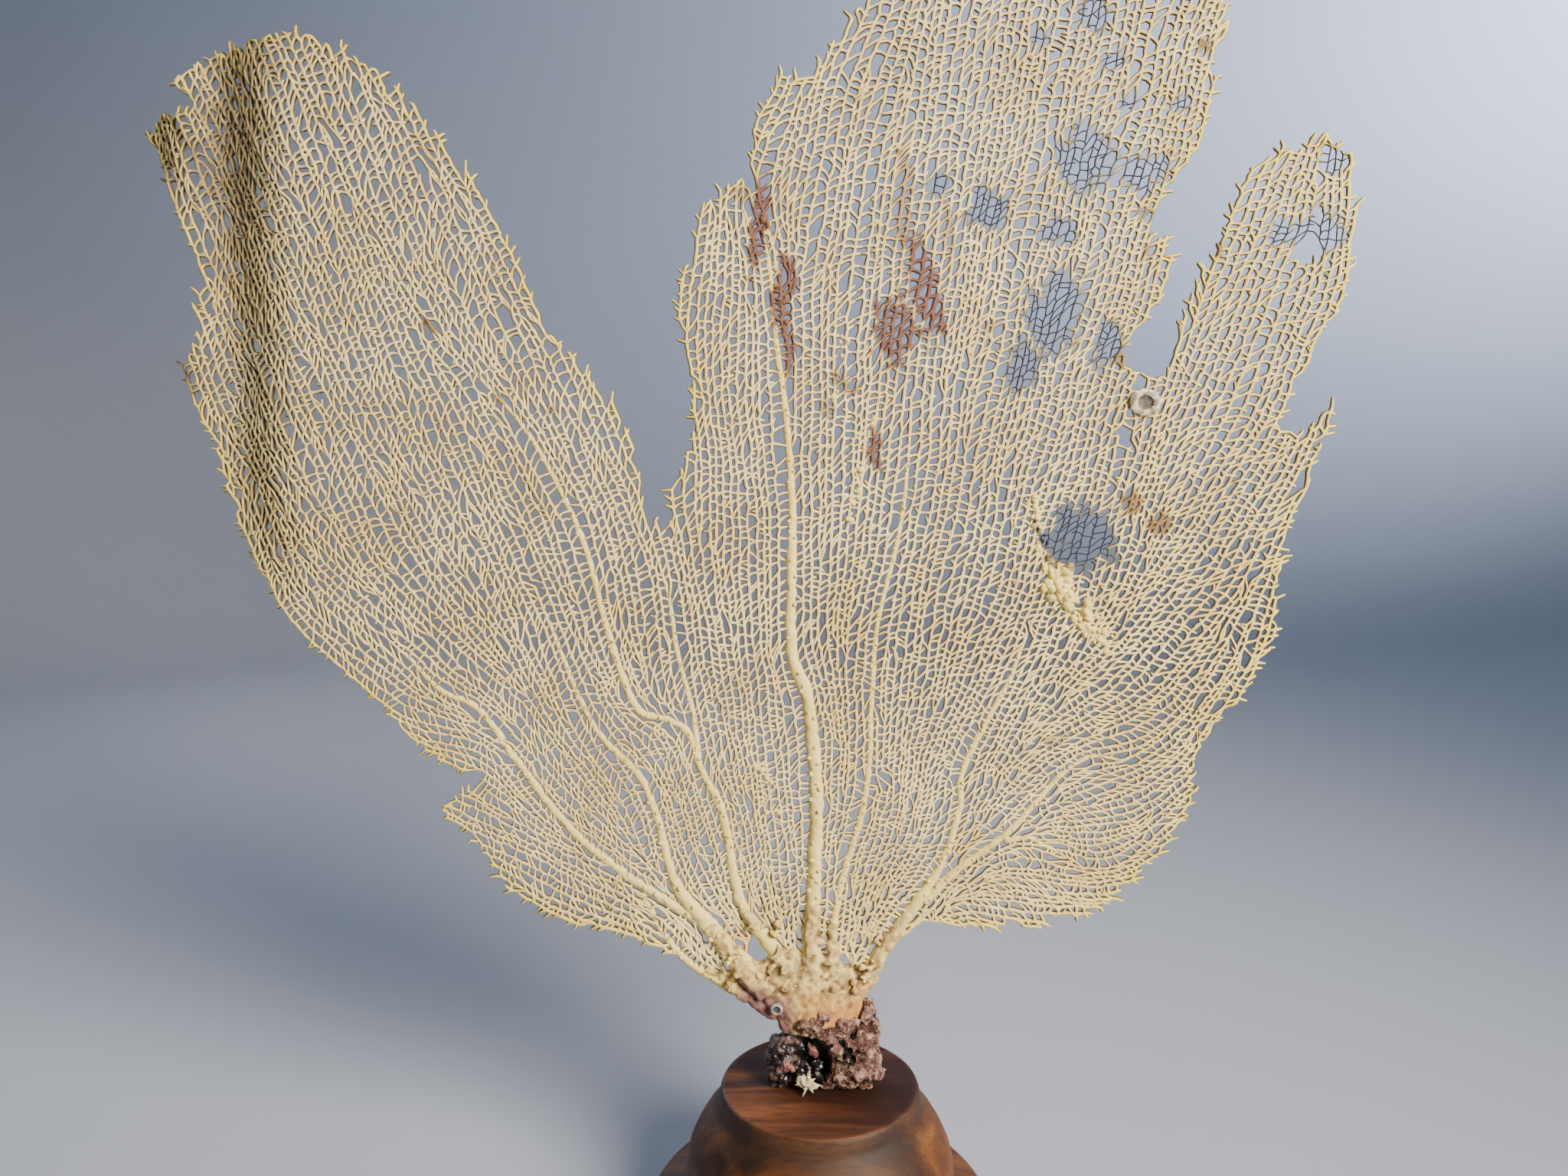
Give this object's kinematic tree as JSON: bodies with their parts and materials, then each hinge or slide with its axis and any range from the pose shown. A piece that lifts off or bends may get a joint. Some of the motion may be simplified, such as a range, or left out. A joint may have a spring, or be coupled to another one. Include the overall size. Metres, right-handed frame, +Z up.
{
  "type": "sea fan on a turned wooden stand",
  "caption": "Dried sea fan, a flat lobed net of fine branchlets on a short flattened trunk, with an encrusted holdfast fixed upright on a round turned hardwood stand.",
  "frame": {"origin": "centre of the stand's flat underside, on the surface it stands on", "axes": "+Z up, along the fan's height; +X to the right across the blade, seen from the front; the front of the blade faces -Y"},
  "size_m": [0.469, 0.144, 0.523],
  "materials": {
    "stand_wood": "turned reddish hardwood with a worn satin polish, lighter and scuffed on the shoulder",
    "fan_trunk": "dry matt cortex, cream turning peach near the base, with a mauve patch",
    "fan_net": "dry matt cream branchlets, yellower at the margins, dark and bare in patches",
    "crust": "gritty pinkish-brown crust of rubble",
    "root": "dark glossy horny mass with pinkish grains",
    "shell": "pale chalky shell"
  },
  "bodies": {
    "root": {"stand": "stand_wood", "trunk": "fan_trunk", "branch_left_low": "fan_net", "branch_left_mid": "fan_net", "branch_left_inner": "fan_net", "branch_centre_left": "fan_net", "branch_centre": "fan_net", "branch_right_high": "fan_net", "branch_right_lobe": "fan_net", "branch_right_low": "fan_net", "holdfast_crust": "crust", "root_mass": "root", "shell_chip": "shell", "barnacle": "shell", "attached_shell": "shell"}
  },
  "joints": []
}
